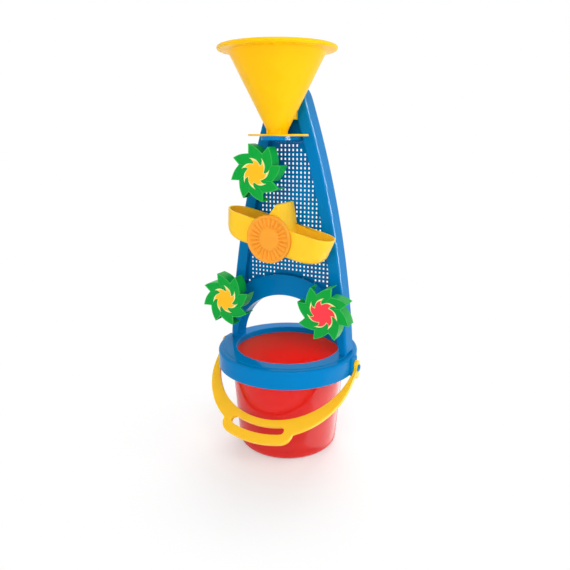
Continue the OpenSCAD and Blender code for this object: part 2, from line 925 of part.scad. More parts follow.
// A bar that follows the curve of the loop and has round ends
module curved_bar(inner, height, length) {
    end_r = height / 2;
    middle = inner + end_r;
    turn = asin((length / 2 - end_r) / middle);
    intersection() {
        difference() {
            circle(r = inner + height, $fn = 180);
            circle(r = inner, $fn = 180);
        }
        polygon([[0, 0], 2 * middle * [-sin(turn), cos(turn)], 2 * middle * [sin(turn), cos(turn)]]);
    }
    for (s = [-1, 1])
        translate(middle * [s * sin(turn), cos(turn)])
            circle(r = end_r);
}

// A tab stands upright beside the boss while the handle rests
module handle_tab() {
    tab_r = tab_w / 2;
    translate([arm_x, -tab_fore, 0])
        rotate([90, 0, 90])
            linear_extrude(eye_t) {
                translate([-tab_r, tab_r - tab_down])
                    square([tab_w, tab_up + tab_down - tab_w]);
                translate([0, tab_up - tab_r])
                    circle(r = tab_r);
                translate([0, tab_r - tab_down])
                    circle(r = tab_r);
            }
}

module handle() {
    color(yellow)
        translate([0, 0, pivot_z])
            difference() {
                union() {
                    rotate([270 - handle_tilt, 0, 0])
                        translate([0, 0, -handle_t / 2])
                            linear_extrude(handle_t)
                                difference() {
                                    handle_outline();
                                    curved_bar(loop_r + grip_bar, slot_h, slot_l);
                                }
                    both_sides()
                        handle_tab();
                }
                both_sides()
                    translate([arm_x - 1, 0, 0])
                        rotate([0, 90, 0])
                            cylinder(r = peg_r + run_clearance, h = eye_t + 2);
            }
}

// A peg with a domed head, pressed into the collar's boss
module handle_peg() {
    head_r = peg_r + peg_head_w;
    head_edge = peg_head_t / 2;
    tip_edge = 0.8;
    shank = peg_in + collar_wall + boss_out + eye_t + 2 * side_gap;
    translate([arm_x + eye_t + side_gap, 0, pivot_z])
        rotate([0, 90, 0])
            rotate_extrude()
                polygon([[0, -shank], [peg_r - tip_edge, -shank], [peg_r, tip_edge - shank],
                    [peg_r, 0], [head_r, 0], [head_r, peg_head_t - head_edge],
                    [head_r - head_edge, peg_head_t], [0, peg_head_t]]);
}

module handle_peg_left() {
    color(blue)
        mirror([1, 0, 0])
            handle_peg();
}

module handle_peg_right() {
    color(blue)
        handle_peg();
}

bucket();
collar();
tower();
screen();
funnel();
axle_upper();
axle_left();
axle_right();
axle_rocker();
rotor_upper();
rotor_left();
rotor_right();
star_upper();
star_left();
star_right();
rocker();
sun_disc();
handle();
handle_peg_left();
handle_peg_right();
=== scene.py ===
import json
import math

import bpy
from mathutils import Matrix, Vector


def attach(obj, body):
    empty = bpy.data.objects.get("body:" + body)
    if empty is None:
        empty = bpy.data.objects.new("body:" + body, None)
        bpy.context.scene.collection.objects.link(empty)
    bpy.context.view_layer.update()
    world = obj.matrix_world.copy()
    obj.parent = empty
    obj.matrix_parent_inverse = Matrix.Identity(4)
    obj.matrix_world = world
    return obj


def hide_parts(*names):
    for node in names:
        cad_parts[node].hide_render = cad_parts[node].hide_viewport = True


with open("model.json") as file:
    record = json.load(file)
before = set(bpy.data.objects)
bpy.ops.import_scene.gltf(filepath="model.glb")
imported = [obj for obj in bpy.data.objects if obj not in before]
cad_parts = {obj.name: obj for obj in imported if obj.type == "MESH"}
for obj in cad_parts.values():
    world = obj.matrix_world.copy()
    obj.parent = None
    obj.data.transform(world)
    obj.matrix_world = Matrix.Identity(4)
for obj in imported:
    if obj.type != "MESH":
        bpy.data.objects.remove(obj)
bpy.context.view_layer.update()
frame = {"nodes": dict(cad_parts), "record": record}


# Sizes that the pieces share, in millimetres, as in the solids

MM = 0.001
JOINT_AT = {joint["name"]: Vector(joint.get("pos_m", (0, 0, 0))) / MM
            for joint in frame["record"]["behaviour"]["joints"]}
BUCKET_MIDDLE = (0, 0, 70)
COLLAR_R = 91
COLLAR_TOP = 134.45
FOOT_Z = 134.5
SHELF_Z = 400.1
FUNNEL_Y = -28
FUNNEL_AT = (0, FUNNEL_Y, SHELF_Z)
WHEEL_FRONT = -45
VANE_DEPTH = 17
ROCKER_FRONT = -52
ROCKER_DEPTH = 42

# How far a cutter reaches past what it cuts
PAST = 1

# Directions, and steps round a turned piece
ORIGIN = (0, 0, 0)
UP = (0, 0, 1)
BACKWARDS = (0, 1, 0)
FORWARDS = (0, -1, 0)
LARGE_ROUND = 128
MIDDLE_ROUND = 64
SMALL_ROUND = 48

# Points closer than this are one point, in metres
MERGE_GAP = 1e-6


# Colours, as linear values of what the eye sees

def seen(red, green, blue):
    """A colour given as it is seen, from 0 to 255, turned to linear light."""
    def linear(value):
        """One channel, turned to linear light."""
        value /= 255
        return value / 12.92 if value <= 0.04045 else ((value + 0.055) / 1.055) ** 2.4
    return (linear(red), linear(green), linear(blue), 1)


BLUE = seen(0, 122, 187)
YELLOW = seen(252, 195, 4)
SOFT_YELLOW = seen(252, 200, 46)
GREEN = seen(10, 162, 60)
RED = seen(214, 42, 38)
ORANGE = seen(240, 158, 50)
STAR_YELLOW = seen(250, 184, 34)
STAR_RED = seen(242, 62, 72)
CREAM = seen(236, 232, 160)
# Painted highlight: this pale green stands in for light caught on the pinwheels' raised edges
PAINTED_HIGHLIGHT_GREEN = seen(66, 184, 88)
# Painted light: this pale red stands in for light on the bucket's inside faces
PAINTED_LIGHT_RED = seen(220, 88, 74)
WHITE = (1, 1, 1, 1)


# Finishes

# Sockets that a mix node uses for colours
MIX_SHARE, MIX_FROM, MIX_TO, MIX_RESULT = 0, 6, 7, 2


def set_inputs(node, values):
    """Sets a node's inputs by their names."""
    for name, value in values.items():
        node.inputs[name].default_value = value


def colour_mix(nodes):
    """A node that mixes two colours."""
    mix = nodes.new("ShaderNodeMix")
    mix.data_type = "RGBA"
    return mix


def math_node(nodes, operation, kind="ShaderNodeMath"):
    """A node that does one sum, on numbers or on vectors."""
    node = nodes.new(kind)
    node.operation = operation
    return node


def new_material(name):
    """A new material, with its nodes, its links and its shader."""
    material = bpy.data.materials.new(name)
    material.use_nodes = True
    nodes, links = material.node_tree.nodes, material.node_tree.links
    return material, nodes, links, nodes["Principled BSDF"]


def moulded_surface_group():
    """Shared by all plastics: a slow drift of colour, an uneven gloss and a faint orange peel."""
    group = bpy.data.node_groups.new("moulded_surface", "ShaderNodeTree")
    for way, name, kind in (("INPUT", "Colour", "Color"), ("INPUT", "Deep Colour", "Color"),
                            ("INPUT", "Smoothest", "Float"), ("INPUT", "Roughest", "Float"),
                            ("OUTPUT", "Colour", "Color"), ("OUTPUT", "Roughness", "Float"),
                            ("OUTPUT", "Height", "Float")):
        group.interface.new_socket(name, in_out=way, socket_type="NodeSocket" + kind)
    nodes, links = group.nodes, group.links
    given = nodes.new("NodeGroupInput")
    result = nodes.new("NodeGroupOutput")
    place = nodes.new("ShaderNodeTexCoord")

    def noise(scale, detail):
        """A noise on the object's own coordinates."""
        texture = nodes.new("ShaderNodeTexNoise")
        set_inputs(texture, {"Scale": scale, "Detail": detail})
        links.new(place.outputs["Object"], texture.inputs["Vector"])
        return texture.outputs["Fac"]

    mix = colour_mix(nodes)
    links.new(noise(scale=14, detail=3), mix.inputs[MIX_SHARE])
    links.new(given.outputs["Deep Colour"], mix.inputs[MIX_FROM])
    links.new(given.outputs["Colour"], mix.inputs[MIX_TO])
    links.new(mix.outputs[MIX_RESULT], result.inputs["Colour"])
    spread = nodes.new("ShaderNodeMapRange")
    set_inputs(spread, {"From Min": 0.3, "From Max": 0.7})
    links.new(noise(scale=55, detail=4), spread.inputs["Value"])
    links.new(given.outputs["Smoothest"], spread.inputs["To Min"])
    links.new(given.outputs["Roughest"], spread.inputs["To Max"])
    links.new(spread.outputs["Result"], result.inputs["Roughness"])
    links.new(noise(scale=900, detail=2), result.inputs["Height"])
    return group


MOULDED = moulded_surface_group()


def plastic(name, colour, depth, roughness, shine=0.12, glow=0.0, reach=(1, 1, 1)):
    """A moulded plastic: its colour drifts to a deeper one, and light spreads into thin walls.

    The depth is the deeper colour's share of the colour, the roughness goes from one value to
    another, and the reach is in millimetres for red, green and blue light.
    """
    material, nodes, links, shader = new_material(name)
    deep = tuple(value * depth for value in colour[:3]) + (1,)
    smoothest, roughest = roughness
    surface = nodes.new("ShaderNodeGroup")
    surface.node_tree = MOULDED
    set_inputs(surface, {"Colour": colour, "Deep Colour": deep,
                         "Smoothest": smoothest, "Roughest": roughest})
    relief = nodes.new("ShaderNodeBump")
    set_inputs(relief, {"Strength": 0.05, "Distance": 0.2 * MM})
    links.new(surface.outputs["Colour"], shader.inputs["Base Color"])
    links.new(surface.outputs["Roughness"], shader.inputs["Roughness"])
    links.new(surface.outputs["Height"], relief.inputs["Height"])
    links.new(relief.outputs["Normal"], shader.inputs["Normal"])
    set_inputs(shader, {"IOR": 1.49, "Specular IOR Level": shine, "Subsurface Weight": glow,
                        "Subsurface Radius": reach, "Subsurface Scale": MM})
    material.diffuse_color = colour
    return material


def mix_in(material, colour, mask):
    """Mixes another colour into a material's own wherever a mask is 1."""
    nodes, links = material.node_tree.nodes, material.node_tree.links
    own = nodes["Principled BSDF"].inputs["Base Color"]
    mix = colour_mix(nodes)
    links.new(mask, mix.inputs[MIX_SHARE])
    links.new(own.links[0].from_socket, mix.inputs[MIX_FROM])
    mix.inputs[MIX_TO].default_value = colour
    links.new(mix.outputs[MIX_RESULT], own)


def painted_highlight_on_raised_edges(material, pale, face):
    """Paints a highlight: what stands in front of a face is made paler, in place of the light that
    thin raised edges catch.
    """
    starts, full = 0.1, 0.5
    nodes, links = material.node_tree.nodes, material.node_tree.links
    place = nodes.new("ShaderNodeTexCoord")
    parts = nodes.new("ShaderNodeSeparateXYZ")
    links.new(place.outputs["Object"], parts.inputs[0])
    proud = nodes.new("ShaderNodeMapRange")
    set_inputs(proud, {"From Min": (face - starts) * MM, "From Max": (face - full) * MM})
    links.new(parts.outputs["Y"], proud.inputs["Value"])
    mix_in(material, pale, proud.outputs["Result"])


def painted_light_inside(material, pale, middle):
    """Paints light inside a hollow: the faces turned towards its middle are made paler, in place
    of the light that falls on them.
    """
    full = 10
    nodes, links = material.node_tree.nodes, material.node_tree.links
    place = nodes.new("ShaderNodeTexCoord")
    away = math_node(nodes, "SUBTRACT", "ShaderNodeVectorMath")
    links.new(place.outputs["Object"], away.inputs[0])
    away.inputs[1].default_value = Vector(middle) * MM
    outward = math_node(nodes, "DOT_PRODUCT", "ShaderNodeVectorMath")
    links.new(place.outputs["Normal"], outward.inputs[0])
    links.new(away.outputs["Vector"], outward.inputs[1])
    inside = nodes.new("ShaderNodeMapRange")
    set_inputs(inside, {"From Min": 0, "From Max": -full * MM})
    links.new(outward.outputs["Value"], inside.inputs["Value"])
    mix_in(material, pale, inside.outputs["Result"])


SATIN = (0.26, 0.36)
FILM = (0.4, 0.5)
blue_plastic = plastic("blue_plastic", BLUE, 0.92, (0.08, 0.15), shine=0.05)
yellow_plastic = plastic("yellow_plastic", YELLOW, 0.93, SATIN, glow=0.5, reach=(4, 3, 0.5))
soft_yellow_plastic = plastic("soft_yellow_plastic", SOFT_YELLOW, 0.93, SATIN, glow=0.5,
                              reach=(4, 3, 1))
green_plastic = plastic("green_plastic", GREEN, 0.88, SATIN, glow=0.3, reach=(0.5, 2.5, 0.8))
red_plastic = plastic("red_plastic", RED, 0.93, (0.1, 0.16), shine=0.22, glow=1.0,
                      reach=(14, 3, 2))
orange_plastic = plastic("orange_plastic", ORANGE, 0.93, (0.34, 0.44))
yellow_film = plastic("yellow_film", STAR_YELLOW, 0.95, FILM)
red_film = plastic("red_film", STAR_RED, 0.95, FILM)
cream_film = plastic("cream_film", CREAM, 0.95, FILM)

# Painted highlight: the pinwheels' raised edges and ridges are made paler in colour
painted_highlight_on_raised_edges(green_plastic, PAINTED_HIGHLIGHT_GREEN, WHEEL_FRONT)
# Painted light: the bucket's inside faces are made paler in colour
painted_light_inside(red_plastic, PAINTED_LIGHT_RED, BUCKET_MIDDLE)

for node in ("screen", "axle_upper", "axle_left", "axle_right", "axle_rocker"):
    frame["nodes"][node].data.materials.clear()
    frame["nodes"][node].data.materials.append(blue_plastic)


# Ways of making pieces

def enter_edit():
    """Goes to edit mode on the active piece."""
    bpy.ops.object.mode_set(mode="EDIT")


def leave_edit():
    """Goes back to object mode."""
    bpy.ops.object.mode_set(mode="OBJECT")


def pick_nothing():
    """Leaves edit mode and clears the selection."""
    if bpy.context.object and bpy.context.object.mode != "OBJECT":
        leave_edit()
    bpy.ops.object.select_all(action="DESELECT")


def pick(piece):
    """Makes one piece the only selected and active one."""
    pick_nothing()
    piece.select_set(True)
    bpy.context.view_layer.objects.active = piece


def unmark(mesh):
    """Unselects every vertex, edge and face of a mesh."""
    for part in (mesh.vertices, mesh.edges, mesh.polygons):
        part.foreach_set("select", [False] * len(part))


def mark_vertices(piece, wanted):
    """Selects some vertices of a piece by their numbers, with the edges between them."""
    mesh = piece.data
    unmark(mesh)
    chosen = set(wanted)
    for i in chosen:
        mesh.vertices[i].select = True
    for edge in mesh.edges:
        edge.select = all(i in chosen for i in edge.vertices)


def polar(radius, degrees):
    """A point at a radius and an angle."""
    turn = math.radians(degrees)
    return Vector((radius * math.cos(turn), radius * math.sin(turn)))


def arc(centre, radius, start, end, steps):
    """Points along an arc, in degrees."""
    turns = [math.radians(start + (end - start) * i / steps) for i in range(steps + 1)]
    return [(centre[0] + radius * math.cos(turn), centre[1] + radius * math.sin(turn))
            for turn in turns]


def bowed(start, end, bow, steps):
    """Points from a start to an end, bowed out to the right of the way."""
    along = end - start
    out = Vector((along.y, -along.x)).normalized()
    return [start + along * (i / steps) + out * bow * math.sin(math.pi * i / steps)
            for i in range(steps + 1)]


def begin(name, point):
    """Starts a piece as one vertex at a point, in millimetres, and stays in edit mode."""
    pick_nothing()
    bpy.ops.mesh.primitive_plane_add(size=0.01)
    piece = bpy.context.object
    piece.name = name
    piece.data.name = name
    enter_edit()
    bpy.ops.mesh.merge(type="CENTER")
    bpy.ops.transform.translate(value=Vector(point) * MM)
    return piece


def draw(points):
    """Draws on from the selected vertex, one extruded edge after another."""
    for here, there in zip(points, points[1:]):
        bpy.ops.mesh.extrude_region_move(
            TRANSFORM_OT_translate={"value": (Vector(there) - Vector(here)) * MM})


def tidy_mesh():
    """Merges doubles and turns every face outwards."""
    bpy.ops.mesh.select_all(action="SELECT")
    bpy.ops.mesh.remove_doubles(threshold=MERGE_GAP)
    bpy.ops.mesh.normals_make_consistent(inside=False)


def turned(name, section, centre, axis, steps):
    """A turned piece: a section of radius and height, spun round an axis through a centre."""
    centre, axis = Vector(centre), Vector(axis)
    outwards = Vector((1, 0, 0)) if abs(axis.x) < 0.5 else Vector((0, 1, 0))
    places = [centre + outwards * radius + axis * height for radius, height in section]
    piece = begin(name, places[0])
    draw(places)
    bpy.ops.mesh.select_all(action="SELECT")
    bpy.ops.mesh.spin(steps=steps, angle=2 * math.pi, center=centre * MM, axis=axis)
    tidy_mesh()
    leave_edit()
    return piece


def drill(radius, low, high, centre, axis, steps):
    """A round cutter along an axis, from a low to a high end."""
    section = [(0, low), (radius, low), (radius, high), (0, high)]
    return turned("hole", section, centre, axis, steps)


def plate(name, places, thickness):
    """A flat piece: an outline of points, filled and extruded by a thickness vector."""
    piece = begin(name, places[0])
    draw(list(places) + [places[0]])
    bpy.ops.mesh.select_all(action="SELECT")
    bpy.ops.mesh.remove_doubles(threshold=MERGE_GAP)
    bpy.ops.mesh.edge_face_add()
    bpy.ops.mesh.extrude_region_move(TRANSFORM_OT_translate={"value": Vector(thickness) * MM})
    tidy_mesh()
    leave_edit()
    return piece


def upright(name, outline, front, back):
    """A plate that stands upright, from one depth to another."""
    return plate(name, [(x, front, z) for x, z in outline], (0, back - front, 0))


def stacked(name, rings):
    """A piece lofted through rings of points that have one count, closed at both ends."""
    loops = []
    for ring in rings:
        loops.append(begin(name, ring[0]))
        draw(list(ring) + [ring[0]])
        tidy_mesh()
        leave_edit()
    piece = joined(loops)
    count = len(rings[0])
    pick(piece)
    for low in range(len(rings) - 1):
        mark_vertices(piece, range(low * count, (low + 2) * count))
        enter_edit()
        bpy.ops.mesh.bridge_edge_loops()
        leave_edit()
    for end in (0, len(rings) - 1):
        mark_vertices(piece, range(end * count, (end + 1) * count))
        enter_edit()
        bpy.ops.mesh.edge_face_add()
        leave_edit()
    enter_edit()
    tidy_mesh()
    leave_edit()
    return piece


def ease_edges(piece, width, segments=2, angle=30):
    """Rounds all the sharp edges of a piece a little."""
    pick(piece)
    bevel = piece.modifiers.new("eased_edges", "BEVEL")
    bevel.width = width * MM
    bevel.segments = segments
    bevel.limit_method = "ANGLE"
    bevel.angle_limit = math.radians(angle)
    bpy.ops.object.modifier_apply(modifier=bevel.name)


def round_edges(piece, width, segments, chosen, angle=25):
    """Rounds the sharp edges of a piece whose two ends are chosen by their place."""
    pick(piece)
    enter_edit()
    bpy.ops.mesh.select_mode(type="EDGE")
    bpy.ops.mesh.select_all(action="DESELECT")
    bpy.ops.mesh.edges_select_sharp(sharpness=math.radians(angle))
    leave_edit()
    mesh = piece.data
    wanted = [edge.select and all(chosen(mesh.vertices[i].co / MM) for i in edge.vertices)
              for edge in mesh.edges]
    unmark(mesh)
    for edge, keep in zip(mesh.edges, wanted):
        edge.select = keep
    enter_edit()
    bpy.ops.mesh.bevel(offset=width * MM, offset_type="OFFSET", segments=segments, affect="EDGES")
    bpy.ops.mesh.select_mode(type="VERT")
    tidy_mesh()
    leave_edit()


def combine(piece, other, how):
    """Cuts another piece out, adds it or keeps what both share, and removes the other."""
    pick(piece)
    boolean = piece.modifiers.new("combined", "BOOLEAN")
    boolean.operation = how
    boolean.solver = "MANIFOLD"
    boolean.object = other
    bpy.ops.object.modifier_apply(modifier=boolean.name)
    bpy.data.objects.remove(other)


def joined(pieces):
    """Joins pieces into the first of them."""
    pick_nothing()
    for piece in pieces:
        piece.select_set(True)
    bpy.context.view_layer.objects.active = pieces[0]
    bpy.ops.object.join()
    return pieces[0]


def put(piece, turn, place):
    """Turns a piece, moves it to its place in millimetres, and leaves its object at the origin."""
    pick(piece)
    piece.rotation_euler = [math.radians(angle) for angle in turn]
    piece.location = Vector(place) * MM
    bpy.ops.object.transform_apply(location=True, rotation=True, scale=True)


def finished(piece, body, nodes, finish, angle=35):
    """Shades a piece, gives it its finish and puts it on its body in place of CAD nodes."""
    pick(piece)
    bpy.ops.object.shade_smooth_by_angle(angle=math.radians(angle))
    flats = piece.modifiers.new("flat_faces_stay_flat", "WEIGHTED_NORMAL")
    flats.keep_sharp = True
    bpy.ops.object.modifier_apply(modifier=flats.name)
    piece.data.materials.clear()
    piece.data.materials.append(finish)
    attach(piece, body)
    if nodes:
        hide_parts(*nodes)
    return piece


# Bucket

def make_bucket():
    """The pail: grooved base, tapered wall and beaded rim, spun from one section."""
    base_r, top_r, rim_r, height, wall, floor = 65.5, 75, 77.4, 132, 2.2, 3.4
    edge, inner_edge, bead = 9, 7.8, 3
    groove_in, groove_w, groove_h = 6, 7, 1.2
    slope = (top_r - base_r) / height
    inside = base_r - wall + slope * floor
    groove_r = base_r - edge - groove_in
    section = [(0, 0), (groove_r - groove_w - groove_h, 0), (groove_r - groove_w, groove_h),
               (groove_r, groove_h), (groove_r + groove_h, 0)]
    section += arc((base_r - edge + slope, edge), edge, -90, 0, 10)
    under_rim = [(top_r - slope * 9.4, 9.4), (top_r - slope * 8.4 + 0.3, 8.4),
                 (rim_r - 0.4, 6.4), (rim_r, 5.8)]
    section += [(radius, height - drop) for radius, drop in under_rim]
    section += arc((rim_r - bead, height - bead), bead, 0, 90, 8)
    section += arc((top_r, height - wall), wall, 90, 180, 6)
    section += arc((inside - inner_edge, floor + inner_edge), inner_edge, 0, -90, 8)
    section += [(0, floor)]
    bucket = turned("bucket_pail", section, ORIGIN, UP, LARGE_ROUND)
    finished(bucket, "bucket", ["bucket"], red_plastic, 30)


make_bucket()


# Collar

def make_collar():
    """The ring that caps the bucket, with a ledge round its top and a boss on each side."""
    wall, opening, depth = 2.4, 67, 24
    lip_w, lip_h, lip_edge, mouth_edge = 1.8, 8, 0.3, 1.2
    inner_edge, outer_edge, hem_in, hem_out = 2.4, 3.2, 0.4, 0.6
    ledge_r, ledge_h = 84, 0.8
    ledge_slope = (0, 1), (0.5, 0.8), (0.9, 0.2), (1.4, 0)
    boss_in, boss_out, boss_half, boss_h, boss_drop = 1.8, 3, 8.5, 23, 1
    bottom, lip_z = COLLAR_TOP - depth, COLLAR_TOP - lip_h
    skin_r, skin_z = COLLAR_R - wall, COLLAR_TOP - wall
    section = [(opening, lip_z + lip_edge), (opening + lip_edge, lip_z),
               (opening + lip_w - lip_edge, lip_z), (opening + lip_w, lip_z + lip_edge),
               (opening + wall, skin_z), (skin_r - inner_edge, skin_z)]
    section += arc((skin_r - inner_edge, skin_z - inner_edge), inner_edge, 90, 0, 5)
    section += [(skin_r, bottom + hem_in), (skin_r + hem_in, bottom),
                (COLLAR_R - hem_out, bottom), (COLLAR_R, bottom + hem_out)]
    ledge_z = COLLAR_TOP - ledge_h
    section += arc((COLLAR_R - outer_edge, ledge_z - outer_edge), outer_edge, 0, 90, 8)
    section += [(ledge_r - way_in, COLLAR_TOP - ledge_h * share) for way_in, share in ledge_slope]
    section += arc((opening + mouth_edge, COLLAR_TOP - mouth_edge), mouth_edge, 90, 180, 4)
    section += [section[0]]
    parts = [turned("collar_ring", section, ORIGIN, UP, LARGE_ROUND)]
    corners = [(COLLAR_R - boss_in, -boss_half), (COLLAR_R + boss_out, -boss_half),
               (COLLAR_R + boss_out, boss_half), (COLLAR_R - boss_in, boss_half)]
    for side in (-1, 1):
        places = [(side * x, y, bottom - boss_drop) for x, y in corners]
        boss = plate("boss", places, (0, 0, boss_h))
        ease_edges(boss, 1.8, 4)
        parts.append(boss)
    finished(joined(parts), "tower", ["collar"], blue_plastic, 32)


make_collar()


# Tower

TOWER_FRONT = -6
TOWER_BACK = 18
TOWER_H = 327
TOWER_WALL = 2.4
SCREEN_FRONT = 2
SCREEN_BACK = 4
SCREEN_TOP = FOOT_Z + 258.5
FOOT_HALF = 84
LEG_W = 9.3
SIDE_R = 1195
SIDE_STEPS = 40
APEX_R = 24
APEX_Z = FOOT_Z + TOWER_H - APEX_R
ARCH_HALF = FOOT_HALF - LEG_W
ARCH_H = 68
ARCH_R = (ARCH_HALF ** 2 + ARCH_H ** 2) / (2 * ARCH_H)
ARCH_Z = FOOT_Z + ARCH_H - ARCH_R
FLANGE_W = 15
ARCH_BAND = 27


def side_centre():
    """The centre of the tower's right side, an arc from the foot that runs into the round top."""
    chord = Vector((-FOOT_HALF, APEX_Z - FOOT_Z))
    way = chord.normalized()
    along = (SIDE_R ** 2 - (SIDE_R - APEX_R) ** 2 + chord.length ** 2) / (2 * chord.length)
    across = math.sqrt(SIDE_R ** 2 - along ** 2)
    return Vector((FOOT_HALF, FOOT_Z)) + along * way + across * Vector((-way.y, way.x))


SIDE_C = side_centre()


def half_width(height, inset):
    """Half the tower's width at a height, drawn in by an inset."""
    return SIDE_C.x + math.sqrt((SIDE_R - inset) ** 2 - (height - SIDE_C.y) ** 2)


def ogive(inset, low, high=None):
    """The tower's outline from the right at a low height, over the top or across, to the left."""
    steep = math.degrees(math.atan2(APEX_Z - SIDE_C.y, -SIDE_C.x))
    top = high or APEX_Z + (APEX_R - inset) * math.sin(math.radians(steep))
    heights = [low + (top - low) * i / SIDE_STEPS for i in range(SIDE_STEPS + 1)]
    right = [(half_width(z, inset), z) for z in heights]
    over = [] if high else arc((0, APEX_Z), APEX_R - inset, steep, 180 - steep, 16)[1:-1]
    return right + over + [(-x, z) for x, z in reversed(right)]


def arch_line(grow, low):
    """The arch from its left end at a low height, over to the right."""
    lift = math.degrees(math.asin((low - ARCH_Z) / (ARCH_R + grow)))
    return arc((0, ARCH_Z), ARCH_R + grow, 180 - lift, lift, 48)


def arch_meets_side(inset, grow):
    """The height at which the drawn-in side meets the grown arch, found by halving."""
    low, high = FOOT_Z, FOOT_Z + ARCH_H + ARCH_BAND
    for _ in range(40):
        middle = (low + high) / 2
        arch_x = math.sqrt(max(0, (ARCH_R + grow) ** 2 - (middle - ARCH_Z) ** 2))
        low, high = (middle, high) if arch_x > half_width(middle, inset) else (low, middle)
    return low


def window(inset, high=None):
    """The outline of the window that the flange frames, drawn in by an inset."""
    corner = arch_meets_side(FLANGE_W + inset, ARCH_BAND + inset)
    return ogive(FLANGE_W + inset, corner, high) + arch_line(ARCH_BAND + inset, corner)[1:-1]


def on_outline(place):
    """Whether a place lies on the front edge of the tower's outline."""
    near, near_top = 0.1, 0.3
    from_apex = Vector((place.x, place.z - APEX_Z)).length
    on_side = place.z < APEX_Z and abs(abs(place.x) - half_width(place.z, 0)) < near
    on_top = place.z > APEX_Z - 1 and abs(from_apex - APEX_R) < near_top
    return place.y < TOWER_FRONT + near and place.z > FOOT_Z - near and (on_side or on_top)


def funnel_nest(name, grow, inner=0):
    """The cone that the funnel nests in, grown by a margin, or a shell between two margins."""
    low, high, neck_r, steep, steps = 8, 78, 12, 43 / 81, 96
    flare = steep * (high - low)
    section = [(neck_r + grow, low), (neck_r + grow + flare, high)]
    if inner:
        section = [(neck_r + inner, low)] + section + [(neck_r + inner + flare, high)]
        section += [section[0]]
    else:
        section = [(0, low)] + section + [(0, high)]
    return turned(name, section, FUNNEL_AT, UP, steps)


def make_shelf():
    """The shelf that the funnel's foot stands on, with a hole for its spout."""
    shelf_r, shelf_t, gap, hole_r, hole_depth, rise = 19, 4.5, 0.05, 10.1, 9, 3
    low = SHELF_Z - gap - shelf_t
    outline = arc((0, FUNNEL_Y), shelf_r, 180, 360, 32)
    outline += [(shelf_r, SCREEN_FRONT + 1), (-shelf_r, SCREEN_FRONT + 1)]
    shelf = plate("shelf", [(x, y, low) for x, y in outline], (0, 0, shelf_t))
    combine(shelf, drill(hole_r, -hole_depth, rise, FUNNEL_AT, UP, MIDDLE_ROUND), "DIFFERENCE")
    ease_edges(shelf, 0.6)
    return shelf


def make_tower():
    """The ogive frame: legs, arch, flange round the window, header, cradle and shelf."""
    foot_t, front_edge, room, cradle_t, skin = 2.6, 3.2, 1.5, 2.4, 0.3
    floor = FOOT_Z + foot_t
    outline = ogive(0, FOOT_Z) + arch_line(0, FOOT_Z)
    tower = upright("tower_frame", outline, TOWER_FRONT, TOWER_BACK)
    round_edges(tower, front_edge, 6, on_outline)
    opening = upright("window", window(0), TOWER_FRONT - PAST, SCREEN_FRONT)
    combine(tower, opening, "DIFFERENCE")
    inside = ogive(TOWER_WALL, floor) + arch_line(TOWER_WALL, floor)
    combine(tower, upright("back", inside, SCREEN_BACK, TOWER_BACK + PAST), "DIFFERENCE")
    hollow = upright("hollow", inside, TOWER_FRONT + TOWER_WALL, SCREEN_BACK + PAST / 2)
    core = upright("core", window(-TOWER_WALL), TOWER_FRONT, SCREEN_BACK + 2 * PAST)
    combine(hollow, core, "DIFFERENCE")
    combine(tower, hollow, "DIFFERENCE")
    seat = window(-TOWER_WALL, SCREEN_TOP)
    combine(tower, upright("screen_way", seat, SCREEN_FRONT, SCREEN_BACK + PAST), "DIFFERENCE")
    combine(tower, funnel_nest("nest", room), "DIFFERENCE")
    ease_edges(tower, 0.7, 2, 40)
    cradle = funnel_nest("cradle", room + cradle_t, room)
    body = upright("body", ogive(skin, FOOT_Z), TOWER_FRONT + skin, TOWER_BACK - skin)
    combine(cradle, body, "INTERSECT")
    tower = joined([tower, cradle, make_shelf()])
    return finished(tower, "tower", ["tower"], blue_plastic, 32)


tower_frame = make_tower()


# Funnel

def make_funnel_cone():
    """The funnel's cone with its rolled lip, its neck and its spout."""
    mouth_r, rim_r, neck_r, spout_r, wall = 55, 67.4, 12, 10, 2
    height, mouth_z, cone_z, spout_z, bead, chip = 96.5, 90.4, 6, -3.6, 2.5, 0.3
    neck_in, spout_in = neck_r - wall, spout_r - wall

    def on_cone(share, inset=0.0, lift=0.0):
        """A point of the wall, at a share of the way from the neck to the mouth."""
        return (neck_r - inset + (mouth_r - neck_r) * share,
                cone_z + lift + (mouth_z - cone_z) * share)

    section = [(spout_in, spout_z + chip), (spout_in + chip, spout_z), (spout_r - chip, spout_z),
               (spout_r, spout_z + chip), (spout_r, 0), (neck_r, 0), (neck_r, cone_z - 0.8),
               (neck_r + 0.25, cone_z + 0.2)]
    section += [on_cone(share) for share in (0.02, 0.5, 0.98)]
    section += [(mouth_r + 0.6, mouth_z + 0.1), (mouth_r + 1.8, mouth_z + 0.5),
                (rim_r - 3.4, height - 4.9)]
    section += arc((rim_r - bead, height - bead), bead, -80, 105, 12)
    section += [(mouth_r + 1, mouth_z + 2.9), (mouth_r - 0.4, mouth_z + 2.2),
                (mouth_r - 1.4, mouth_z + 1)]
    section += [on_cone(share, wall, 0.9) for share in (0.96, 0.5, 0.03)]
    section += [(neck_in, cone_z), (neck_in, cone_z / 2), (spout_in, 1), section[0]]
    return turned("funnel_cone", section, FUNNEL_AT, UP, LARGE_ROUND)


def make_funnel_foot():
    """The funnel's foot: a thin plate in the form of a pointed oval, with a hole for the neck."""
    half_l, half_w, thick, blunt, hole_r = 39.7, 17, 2.2, 1.2, 11
    bow = (half_l ** 2 + half_w ** 2) / (2 * half_w)
    reach = math.degrees(math.asin(half_l / bow)) - blunt
    front = arc((0, FUNNEL_Y - half_w + bow), bow, -90 - reach, -90 + reach, 24)
    back = arc((0, FUNNEL_Y + half_w - bow), bow, 90 - reach, 90 + reach, 24)
    foot = plate("foot", [(x, y, SHELF_Z) for x, y in front + back], (0, 0, thick))
    combine(foot, drill(hole_r, -3, 6, FUNNEL_AT, UP, MIDDLE_ROUND), "DIFFERENCE")
    ease_edges(foot, 0.5)
    return foot


